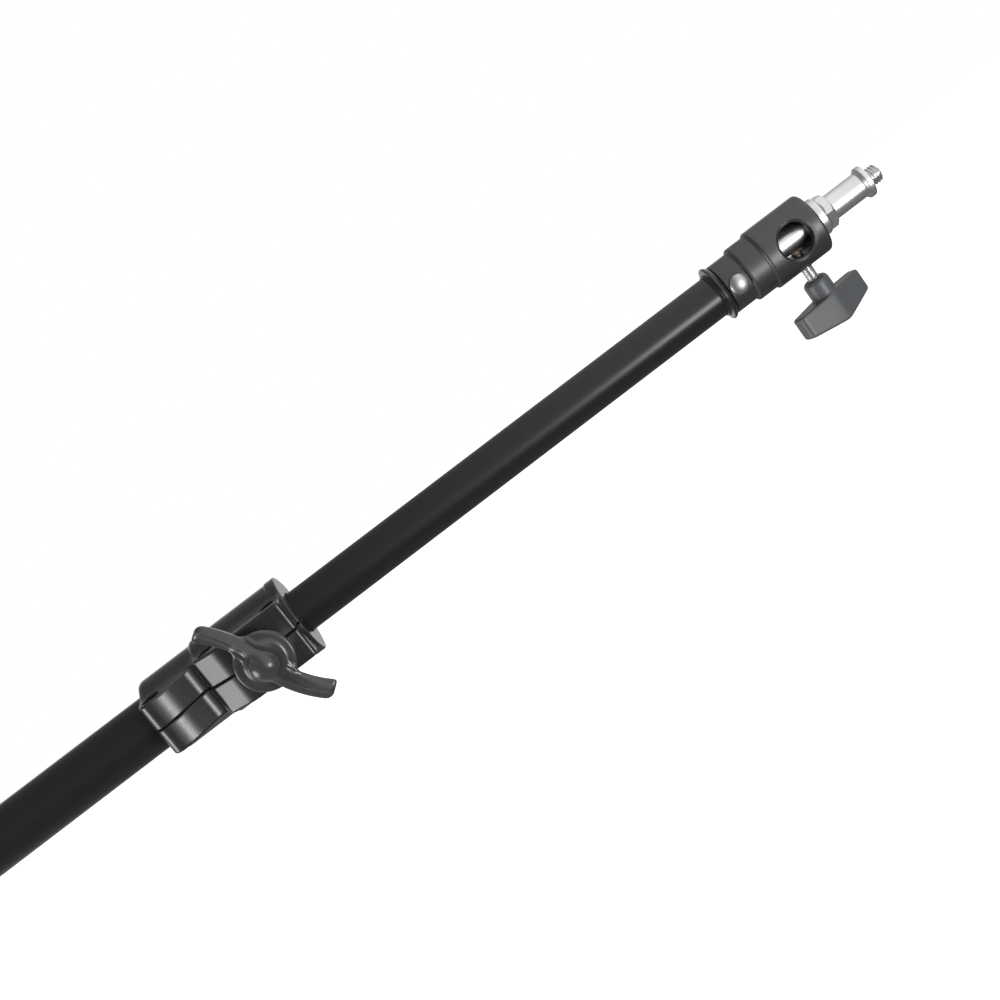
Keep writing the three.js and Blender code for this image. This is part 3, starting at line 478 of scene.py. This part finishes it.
def head_grids():
    """The head's skin. Two quarters of it are patches round the cross bore: their rows go from
    the bore's rim, a circle seen along Y, to the patch's square edge. The rest is turned. Inside,
    the boring along X is cut where the cross bore's circle meets it."""
    half = head_front - nose_ease - 0.3 - cross_at
    width = head_radius * np.pi / 4
    steps = np.linspace(-1, 1, QUARTER + 1)
    edge = np.concatenate([
        np.stack([0 * steps + half, steps * width], 1)[:-1],
        np.stack([-steps * half, 0 * steps + width], 1)[:-1],
        np.stack([0 * steps - half, -steps * width], 1)[:-1],
        np.stack([steps * half, 0 * steps - width], 1)])
    toward = np.arctan2(edge[:, 1], edge[:, 0])
    unit = np.stack([np.cos(toward), np.sin(toward)], 1)

    def on_skin(x, arc):
        return np.stack([x + cross_at, -head_radius * np.cos(arc / head_radius),
                         head_radius * np.sin(arc / head_radius)], -1)

    def on_rim(radius):
        x, z = radius * unit[:, 0], radius * unit[:, 1]
        return np.stack([x + cross_at, -np.sqrt(head_radius ** 2 - z ** 2), z], -1)

    chamfer = 1.2
    rim = (bore_radius + chamfer) * unit
    arc_rim = np.stack([rim[:, 0], head_radius * np.arcsin(rim[:, 1] / head_radius)], 1)
    share = np.linspace(0, 1, 14)[:, None, None]
    flat = (1 - share) * arc_rim + share * edge
    patch = on_skin(flat[..., 0], flat[..., 1])
    outer = on_rim(bore_radius + chamfer)
    end = on_rim(bore_radius) + np.array([0, chamfer, 0])
    t = np.linspace(0, 1, 6)[:, None, None]
    lip = (1 - t) * outer + t * end
    inner = end.copy()
    inner[:, 1] = -bore_radius * np.abs(unit[:, 0])
    s = np.linspace(0, 1, 8)[:, None, None]
    wall = (1 - s) * end + s * inner
    flip = np.array([1, -1, 1])
    sides = [patch, lip, wall, patch * flip, lip * flip, wall * flip]

    steps_x = np.linspace(-half, half, QUARTER + 1)[:, None] + cross_at
    around = np.linspace(np.pi / 4, 3 * np.pi / 4, QUARTER + 1)
    top = np.stack([steps_x + 0 * around, head_radius * np.cos(around) + 0 * steps_x,
                    head_radius * np.sin(around) + 0 * steps_x], -1)
    sides += [top, top * np.array([1, 1, -1])]

    skin_angles = np.linspace(3 * np.pi / 2, -np.pi / 2, 4 * QUARTER + 1)
    skin_angles[-1] = skin_angles[0]
    front_side = np.sort(toward[np.abs(toward) <= np.pi / 2 + 1e-9])
    front_side = front_side[np.concatenate([[True], np.diff(front_side) > 1e-9])]
    bore_angles = np.concatenate([np.pi - front_side, front_side[::-1][1:]])
    bore_angles[-1] = bore_angles[0]
    rear_part = rounded([
        (socket_end, 0), (socket_end, socket_radius), (head_rear, socket_radius, 0.3),
        (head_rear, neck_radius, 0.5), (neck_end, neck_radius, 0.3),
        (neck_end + step_length, waist_radius, 0.4), (waist_end, waist_radius, 0.3),
        (waist_end + step_length, head_radius, 0.5), (cross_at - half, head_radius)])
    front_part = rounded([(cross_at + half, head_radius), (head_front, head_radius, nose_ease),
                          (head_front, head_radius - nose_face)])
    mouth = rounded([(head_front, bore_radius + mouth_ease), (head_front, bore_radius, 0.6),
                     (head_front - mouth_depth, bore_radius)])
    face_share = np.linspace(0, 1, 5)[:, None]
    face_rim = head_radius - nose_face
    face_radius = face_rim + face_share * (bore_radius + mouth_ease - face_rim)
    turn_by = np.unwrap(bore_angles[:-1]) - np.unwrap(skin_angles[:-1])
    face_angle = skin_angles[:-1] + face_share * turn_by
    face_angle = np.concatenate([face_angle, face_angle[:, :1]], 1)
    face = np.stack([0 * face_angle + head_front, face_radius * np.cos(face_angle),
                     face_radius * np.sin(face_angle)], -1)

    reach = bore_radius * np.abs(np.cos(bore_angles))
    bottom = head_front - bore_depth
    k = np.linspace(0, 1, 8)[:, None]
    ahead = cross_at + reach + k * (head_front - mouth_depth - cross_at - reach)
    behind = cross_at - reach + k * (bottom - cross_at + reach)
    ring = np.stack([np.cos(bore_angles), np.sin(bore_angles)]) * bore_radius
    boring = [np.stack([x, 0 * x + ring[0], 0 * x + ring[1]], -1) for x in (ahead, behind)]
    floor = turned([(bottom, bore_radius), (bottom, 0)], angles=bore_angles)
    return sides + [turned(rear_part, angles=skin_angles), turned(front_part, angles=skin_angles),
                    face, turned(mouth, angles=bore_angles), floor] + boring


finish_piece(skin("head_skin", head_grids(), crease=35.0),
             "head_skin", "inner_boom", "head_black", ["head_socket"])


# Spigot


spigot_radius, spigot_neck, spigot_neck_length, shoulder_radius, hexagon_slope = 8.0, 6.35, 18, 9.5, 1.2
stud_foot = 1.2
stud_root, stud_crest, stud_pitch = 3.85, 4.6, 1.5875
spigot_rear, spigot_lift = low("spigot")[0], middle("spigot")[2]


def spigot_grid():
    """One grid for the whole spigot: its radius is the larger of the turned profile and the
    hexagon, and the hexagon's corners are turned off by a cone at each end. The second result
    is where the flange ends."""
    ease, cone = 0.35, 1.4
    full, neck, rear = spigot_radius, spigot_neck, spigot_rear
    front = head_front + 0.3
    groove, groove_end = rear + 2.9, rear + 21.3
    shoulder, six, end = front + 4.0, front + 5.6, front + 8.2
    neck_end = end + cone + spigot_neck_length
    flange = neck_end + cone
    flange_end = flange + 2.6
    profile = rounded([
        (rear, 0), (rear, full, 0.5), (groove, full, ease), (groove + cone, neck, ease),
        (groove_end - cone, neck, ease), (groove_end, full, ease), (front, full),
        (front, shoulder_radius, 0.5), (shoulder, shoulder_radius, 0.4), (six, full, ease),
        (end, full, ease), (end + cone, neck, 0.5), (neck_end, neck, 0.5), (flange, full, ease),
        (flange_end, full, 0.45), (flange_end, 4.2, 0.1), (flange_end + 0.9, 3.9, 0.2),
        (flange_end + stud_foot, 3.9)])
    cuts = np.linspace(six - 1.6, end + 1.2, 40)
    keep = profile[np.concatenate([[True], np.diff(profile[:, 0]) > 1e-6])]
    body = np.interp(cuts, keep[:, 0], keep[:, 1])
    rows = np.concatenate([profile, np.stack([cuts, body], 1)])
    rows = rows[np.argsort(rows[:, 0], kind="stable")]
    angles = np.linspace(0, TURN, 193)
    angles[-1] = 0
    lobe = np.mod(angles, TURN / 6) - TURN / 12
    x = rows[:, :1]
    rising, falling = full + (x - shoulder + 0.25) * hexagon_slope, full + end + 0.9 - x
    six_sided = np.minimum(full / np.cos(lobe), np.minimum(rising, falling))
    six_sided = np.where((x > shoulder) & (x < end + 1.2), six_sided, 0)
    radius = np.maximum(rows[:, 1:], six_sided)
    grid = np.stack([x + 0 * angles, radius * np.cos(angles), radius * np.sin(angles) + spigot_lift], -1)
    return grid, flange_end


def thread(start, length, root, crest, pitch, axis, centre, count=64, per_turn=16, end_ease=1.0):
    """Screw thread: the radius goes from root to crest and back once per pitch, shifted round the
    axis so that it winds, and closes in at the free end."""
    along = np.linspace(0, length, int(length / pitch * per_turn) + 1)[:, None]
    angles = np.linspace(0, TURN, count + 1)
    phase = along / pitch - angles / TURN
    wave = np.clip(1.6 * (0.5 - np.abs(2 * (phase - np.floor(phase)) - 1)) + 0.5, 0, 1)
    taper = np.clip((length - along) / end_ease, 0, 1)
    fade = np.clip(along / (pitch * 0.4), 0, 1)
    radius = root + (crest - root) * wave * np.sqrt(taper) * fade - (1 - taper) * 0.5
    radius[:, -1] = radius[:, 0]
    angles[-1] = 0
    first, second, run = radius * np.cos(angles), radius * np.sin(angles), along + start + 0 * angles
    order = {"x": (run, first, second), "z": (first, second, run)}
    grid = np.stack(order[axis], -1) + np.array(centre, float)
    cap = np.stack([grid[-1], np.repeat(grid[-1].mean(0)[None], len(angles), 0)])
    return [grid, cap]


spigot_body, flange_end = spigot_grid()
stud_from = flange_end + stud_foot
stud_grids = thread(stud_from, high("spigot")[0] - stud_from, stud_root, stud_crest, stud_pitch, "x",
                    (0, 0, spigot_lift), count=96)
finish_piece(skin("spigot_skin", [spigot_body, *stud_grids], crease=28.0),
             "spigot_skin", "spigot_stud", "spigot_chrome", ["spigot"])


# Screw and knob under the head

hub_top = high("t_knob")[2]
screw_radius, screw_root, screw_crest, screw_pitch = 2.9, 2.55, 2.98, 1.0
screw_start, screw_end = hub_top + 0.3, high("t_knob_screw")[2] - 0.7
screw_foot = hub_top - 8.0
screw_shank = rounded([(screw_foot, 0), (screw_foot, screw_radius),
                       (screw_start, screw_radius, 0.2), (screw_start, screw_root)])
screw_grids = [turned(screw_shank, "z", (cross_at, 0, 0), count=64)]
screw_grids += thread(screw_start, screw_end - screw_start, screw_root, screw_crest, screw_pitch, "z",
                      (cross_at, 0, 0))
finish_piece(skin("t_screw_skin", screw_grids, crease=28.0),
             "t_screw_skin", "t_handle", "zinc_steel", ["t_knob_screw"])

bar_turn, bar_thick, bar_reach = math.radians(20), 7.3, 20.9
bar_top, bar_bottom, bar_narrowing, bar_rise = hub_top - 9.4, hub_top - 24.3, 3.7, 4.1
hub_radius, hub_chamfer, hub_sunk, knob_hole_radius, knob_hole_depth = 6.4, 1.6, 4, 3.1, 7


def t_knob_field(x, y, z):
    """A round hub joined to a bar. Seen from above the bar is a long diamond with cut ends, so
    that it has a ridge in the middle of each side; its underside comes to a shallow point."""
    x = x - cross_at
    along = x * math.cos(bar_turn) + y * math.sin(bar_turn)
    across = np.abs(y * math.cos(bar_turn) - x * math.sin(bar_turn))
    far = np.sqrt(along ** 2 + 1.5 ** 2) - 1.5
    side = across - bar_thick + far * (bar_narrowing / bar_reach)
    bottom = bar_bottom - z + far * (bar_rise / bar_reach)
    bar = both(side, np.abs(along) - bar_reach, 2.4)
    bar = both(bar, z - bar_top, 1.3)
    bar = both(bar, bottom, 1.6)
    radial = np.sqrt(x ** 2 + y ** 2)
    hub = both(radial - hub_radius, z - hub_top, 0.4)
    hub = both(hub, (radial - hub_radius + z - hub_top + hub_chamfer) * math.sqrt(0.5), 0.8)
    hub = both(hub, bar_top - hub_sunk - z, 0.5)
    knob = either(bar, hub, 1.2)
    hole = np.maximum(radial - knob_hole_radius, hub_top - knob_hole_depth - z)
    return without(knob, hole, 0.3)


finish_piece(moulded("t_knob_skin", t_knob_field, (cross_at - 22, -14, hub_top - 26),
                     (cross_at + 22, 14, hub_top + 1), cell=0.4),
             "t_knob_skin", "t_handle", "knob_plastic", ["t_knob"], tknob_finish)


# Collar

collar_rear, collar_front = low("collar_upper_shell")[0], high("collar_upper_shell")[0]
bolt_at = middle("wing_bolt")[0]
# Places along the boom are measured from the collar's rear, and faces from the boom's axis.
# A step of the sleeve has its place, the length over which it rises, and its rise.
lug_face, lug_half, lug_rear, lug_end = 25.4, 13.2, -0.4, 28.6
slope_start, slope_end, waist_face = 8.8, 24.5, 15.2
block_face, block_half, block_rear, block_front = 27.0, 14.6, 28.2, 74.4
pad_face, pad_end = 19.4, 41.8
sleeve_radius, sleeve_front, sleeve_bare = 17.9, 75.8, 60
sleeve_steps = ((28, 2.4, 1.2), (70.2, 0.9, 0.5))
tube_room, tube_stop, boom_room, bush_room, bush_at, bush_half = 12.8, 30.6, 10.6, 12.6, 70.3, 3.3
bolt_room, nut_room, nut_at, nut_half = 4.5, 7.9, 20.85, 3.6
shoe_length, shoe_width, shoe_depth = 8.3, 6.3, 16.7
half_split = 0.15


def hexagon(x, y, across_flats):
    """Distance from a six-sided prism with corners towards X."""
    x, y = np.abs(x), np.abs(y)
    return np.maximum(y, x * math.cos(math.pi / 6) + y * 0.5) - across_flats / 2


def screw_rooms(x, y, z):
    """Sunk holes for the three clamp screws: wide below for the head, six-sided above."""
    lug_hole = (lug_half, 4.55, 6.4, 8.6, 5.4, 2.8)
    block_hole = (block_half, 3.8, 5.4, 7.6, 4.6, 2.3)
    holes = {"lug_screw": lug_hole, "block_rear_screw": block_hole, "block_front_screw": block_hole}
    rooms = []
    for name, (half, head_width, head_depth, flats, nut_depth, shank) in holes.items():
        cx, cy, _ = middle(name)
        radial = np.sqrt((x - cx) ** 2 + (y - cy) ** 2)
        rooms.append(radial - shank + 0 * z)
        rooms.append(np.maximum(radial - head_width, z + half - head_depth))
        rooms.append(np.maximum(hexagon(x - cx, y - cy, flats), half - nut_depth - z))
    return np.minimum.reduce(np.broadcast_arrays(*rooms))


def beyond(x, y, start, end):
    """Distance from the upright plane through two points seen from above, measured to its right."""
    run, rise = end[0] - start[0], end[1] - start[1]
    return ((x - start[0]) * rise - (y - start[1]) * run) / math.hypot(run, rise)


def smooth_step(value):
    share = np.clip(value, 0, 1)
    return share * share * (3 - 2 * share)


def collar_field(x, y, z):
    """The whole collar: a stepped round sleeve with a lug, both cut by an upright outline that
    slopes back to a waist, and a block with a slanted pad. They are joined with fillets, less
    the rooms for tube, bush, bolt, nut, shoe and screws."""
    x = x - collar_rear
    round_about = np.sqrt(y ** 2 + z ** 2)
    slope = beyond(x, y, (slope_start, -lug_face), (slope_end, -waist_face))
    front = either(both(-lug_face - y, slope, 4.4), -waist_face - y, 1.5)
    outline = both(front, lug_rear - x, 7.0)
    radius = sleeve_radius + sum(rise * smooth_step((x - at) / run) for at, run, rise in sleeve_steps)
    sleeve = both(both(round_about - radius, -x, 4.0), x - sleeve_front, 0.8)
    lug = np.maximum(np.maximum(np.abs(z) - lug_half, x - lug_end), y)
    rear_part = both(either(sleeve, lug, 3.0), outline, 1.5)
    pad = beyond(x, y, (block_rear, -pad_face), (pad_end, -block_face))
    block = both(pad, -block_face - y, 2.2)
    block = both(both(block, x - block_front, 2.2), block_rear - x, 2.4)
    block = np.maximum(both(block, np.abs(z) - block_half, 1.6), y)
    body = np.minimum(either(rear_part, block, 1.6), np.maximum(sleeve, sleeve_bare - x))
    tube = np.minimum(np.maximum(round_about - tube_room, x - tube_stop), round_about - boom_room)
    tube = np.minimum(tube, np.maximum(round_about - bush_room, np.abs(x - bush_at) - bush_half))
    body = without(body, tube, 0.5)
    p = x - bolt_at + collar_rear
    from_bolt = np.sqrt(p ** 2 + z ** 2)
    bolt = np.maximum(from_bolt - bolt_room, y)
    nut = np.maximum(from_bolt - nut_room, np.abs(y + nut_at) - nut_half)
    shoe = np.maximum(np.abs(p) - shoe_length, np.abs(z) - shoe_width)
    shoe = np.maximum(shoe, np.maximum(y, -shoe_depth - y))
    return without(body, np.minimum(np.minimum(bolt, nut), shoe), 0.4)


def shell(side):
    """The field of the collar's half above (side 1) or below (side -1) the split."""
    def field(x, y, z):
        whole = without(collar_field(x, y, z), screw_rooms(x, y, z), 0.5)
        return both(whole, half_split - side * z, 0.9)
    return field


finish_piece(moulded("collar_upper_skin", shell(1), (collar_rear - 1, -28.2, -1),
                     (collar_front + 1, 20.2, 20.2), cell=0.45),
             "collar_upper_skin", "outer_boom", "collar_black", ["collar_upper_shell"])
finish_piece(moulded("collar_lower_skin", shell(-1), (collar_rear - 1, -28.2, -20.2),
                     (collar_front + 1, 20.2, 1), cell=0.45),
             "collar_lower_skin", "outer_boom", "collar_black", ["collar_lower_shell"])


# Wing knob

knob_base = -high("wing_knob")[1]
skirt_radius, skirt_flare, skirt_height, skirt_lean = 10, 3.5, 15, 0.974
crown_radius, crown_height, crown_fall = 6.2, 26.8, 0.07
cone_height, cone_reach, cone_slope, cone_bottom = 9.6, 5.1, 0.57, 12
bolt_hole_radius, bolt_hole_depth = 4.3, 8
blade_heading, blade_sweep, blade_start, blade_reach = math.radians(102.5), math.radians(15), 5.2, 32
ridge_root, ridge_drop, ridge_slope = 26.6, 8.4, 0.36
blade_bottom, scoop_bottom, scoop_curve = 13.2, 15.2, 2.4


def blade_field(p, q, out, radial):
    """Both blades, one of them the other turned by half a turn. The ridge is the line whose
    heading turns a little with the distance from the axis. On one side of it the blade's front
    slopes down gently; on the other it falls away steeply and then runs out to a thin edge."""
    share = np.clip((radial - 2) / 30, 0, 1)
    heading = blade_heading + blade_sweep * share ** 1.1
    along = p * np.cos(heading) + q * np.sin(heading)
    off = (q * np.cos(heading) - p * np.sin(heading)) * np.where(along >= 0, 0.96, -0.96)
    gentle_width, scoop_width = 4.0 - 0.5 * share, 3.4 + 1.8 * share
    ridge = ridge_root - ridge_drop * share ** 0.6
    inwards = 1 - np.clip(off / scoop_width, 0, 1)
    depth = ridge - scoop_bottom
    scooped = scoop_bottom + depth * inwards ** scoop_curve
    scoop_slope = scoop_curve * depth / scoop_width * inwards ** (scoop_curve - 1)
    height = np.where(off < 0, ridge + ridge_slope * off, scooped)
    steep = np.where(off < 0, ridge_slope, scoop_slope)
    blade = (out - height) / np.sqrt(1 + steep ** 2)
    blade = both(blade, -off - gentle_width + 0.25 * np.clip(ridge - out, 0, 4), 1.3)
    blade = both(blade, off - scoop_width, 0.8)
    blade = both(blade, blade_bottom - out, 1.0)
    blade = both(blade, radial - blade_reach, 2.6)
    return both(blade, blade_start - np.abs(along), 2.4)


def wing_knob_field(x, y, z):
    """A flared skirt, a hollow cone up to a round crown and the two blades, joined with fillets,
    less the hole for the bolt."""
    out = -y - knob_base
    p, q = x - bolt_at, z
    radial = np.sqrt(p ** 2 + q ** 2)
    flare = skirt_flare * np.clip(out / skirt_height, 0, 1)
    skirt = both((radial - skirt_radius - flare) * skirt_lean, -out, 0.8)
    skirt = both(skirt, out - skirt_height, 1.6)
    up = np.sqrt(np.clip((out - skirt_height) / cone_height, 0.02, 1))
    cone = radial - crown_radius - cone_reach * (1 - up) ** 2
    cone = cone / np.sqrt(1 + (cone_slope * (1 - up) / up) ** 2)
    cone = both(cone, out - crown_height + crown_fall * radial ** 2, 1.6)
    hub = either(skirt, both(cone, cone_bottom - out, 0.5), 1.2)
    knob = either(hub, blade_field(p, q, out, radial), 2.6)
    return without(knob, np.maximum(radial - bolt_hole_radius, out - bolt_hole_depth), 0.3)


finish_piece(moulded("wing_knob_skin", wing_knob_field, (bolt_at - 33, -knob_base - 28, -33),
                     (bolt_at + 33, -knob_base + 1, 33), cell=0.4),
             "wing_knob_skin", "wing", "knob_plastic", ["wing_knob"])


# Finish of the CAD nodes that are shown as they are

for part in frame["record"]["subparts"]:
    shown = frame["nodes"][part["node"]]
    shown.data.materials.clear()
    shown.data.materials.append(finishes[part["material_slot"]])


# Camera, light and ground

tilt, yaw, roll = math.radians(10.2), math.radians(4.42), math.radians(37.28)
# The camera's directions before it rolls
right_of = np.array([math.cos(yaw), -math.sin(yaw) * math.cos(tilt), math.sin(yaw) * math.sin(tilt)])
down_of = np.array([0, -math.sin(tilt), -math.cos(tilt)])
ahead_of = np.array([math.sin(yaw), math.cos(yaw) * math.cos(tilt), -math.cos(yaw) * math.sin(tilt)])
aim, distance, focal_px, picture_px = np.array([511.7, 0, 0]), 722.1, 1600, 1000
seat = aim - distance * ahead_of


def stand(thing, across, upright, back, at):
    """Puts a camera or a lamp at a point, with its own X, Y and Z along these directions."""
    pose = np.eye(4)
    pose[:3] = np.stack([across, upright, back, at], 1)
    thing.matrix_world = Matrix(pose.tolist())


camera = bpy.data.objects.new("camera", bpy.data.cameras.new("camera"))
bpy.context.scene.collection.objects.link(camera)
camera.data.sensor_width = 36
camera.data.lens = focal_px * camera.data.sensor_width / picture_px
camera.data.clip_start = 0.01
camera.data.shift_x = -0.0575
camera.data.shift_y = -0.0840
right = math.cos(roll) * right_of + math.sin(roll) * down_of
up = math.sin(roll) * right_of - math.cos(roll) * down_of
stand(camera, right, up, -ahead_of, seat * MM)
bpy.context.scene.camera = camera
bpy.context.scene.view_settings.view_transform = "Standard"


def softbox(name, at, target, width, height, power):
    """A flat area lamp at one point, facing another, with its width level."""
    lamp = bpy.data.objects.new(name, bpy.data.lights.new(name, "AREA"))
    bpy.context.scene.collection.objects.link(lamp)
    lamp.data.shape = "RECTANGLE"
    lamp.data.size = width
    lamp.data.size_y = height
    lamp.data.energy = power
    at, target = np.array(at, float), np.array(target, float)
    back = (at - target) / np.linalg.norm(at - target)
    side = np.cross([0, 0, 1], back)
    side /= np.linalg.norm(side)
    stand(lamp, side, np.cross(back, side), back, at)


softbox("left_softbox", at=(-0.82, -0.3, -0.2), target=(0.33, 0, 0), width=0.6, height=0.6, power=10)
softbox("front_softbox", at=(0.99, -1.06, -0.29), target=(0.6, 0, 0), width=0.26, height=0.38, power=7.5)


def seen_by(finish, *kinds):
    """1 for rays of these kinds, else 0."""
    return sum(finish.node("ShaderNodeLightPath", out=kind) for kind in kinds).held()


world = bpy.data.worlds.new("studio")
bpy.context.scene.world = world
world.use_nodes = True
sky = Finish(world.node_tree)
coordinates = sky.node("ShaderNodeTexCoord", out="Generated")
rightwards, behind, upwards = (sky.node("ShaderNodeSeparateXYZ", out=axis, Vector=coordinates)
                               for axis in "XYZ")
# The object mirrors white low behind it, a light wall at the right and a dim room elsewhere, and
# an even glow lights it.
horizon = (behind * 1.5).held() * (1 - (upwards * 4 - 0.6).held() * 0.95)
side_wall = (rightwards * 4).held() * (1 - (rightwards * 6 - 4.5).held()) * (1 - behind.held())
mirrored = 0.28 + upwards.held() * 0.04 + horizon * 0.65 + side_wall * 1.25
glow = (0.35 + upwards * 0.25).held()
straight = seen_by(sky, "Is Camera Ray", "Is Transmission Ray")
glossy = seen_by(sky, "Is Glossy Ray")
sky.node("ShaderNodeOutputWorld", Surface=sky.node(
    "ShaderNodeBackground", Color=(1, 1, 1, 1),
    Strength=straight + glossy * mirrored + (1 - straight - glossy).held() * glow))

floor_look, f = material("floor_white")
paper = f.noise(4.0, 2.0)
floor_x, floor_y = (f.node("ShaderNodeSeparateXYZ", out=axis, Vector=f.place()) for axis in "XY")
# In mirrors the floor is white far behind and at the left, and dim elsewhere.
far = ((floor_y - 2.5) * 0.4).held()
beside = (floor_x * -2).held() * (floor_y + 0.5).held() * 0.5
mirrored_floor = seen_by(f, "Is Glossy Ray")
whitened = seen_by(f, "Is Camera Ray", "Is Transmission Ray") + mirrored_floor * (far + beside).held()
f.surface(Base_Color=f.blend(mirrored_floor, f.blend(paper, grey(0.93), grey(0.96)), grey(0.3)),
          Roughness=0.8,
          Emission_Color=f.blend(whitened.held(), grey(0.0), grey(1.0)), Emission_Strength=0.8)
floor_half, floor_depth = 8000, 1300
span = np.linspace(-floor_half, floor_half, 9)
ground = np.stack([*np.meshgrid(span, span, indexing="ij"), np.full((9, 9), -floor_depth)], -1)
floor = bpy.data.objects.new("floor", skin("floor", [ground]))
bpy.context.scene.collection.objects.link(floor)
floor.data.materials.append(floor_look)
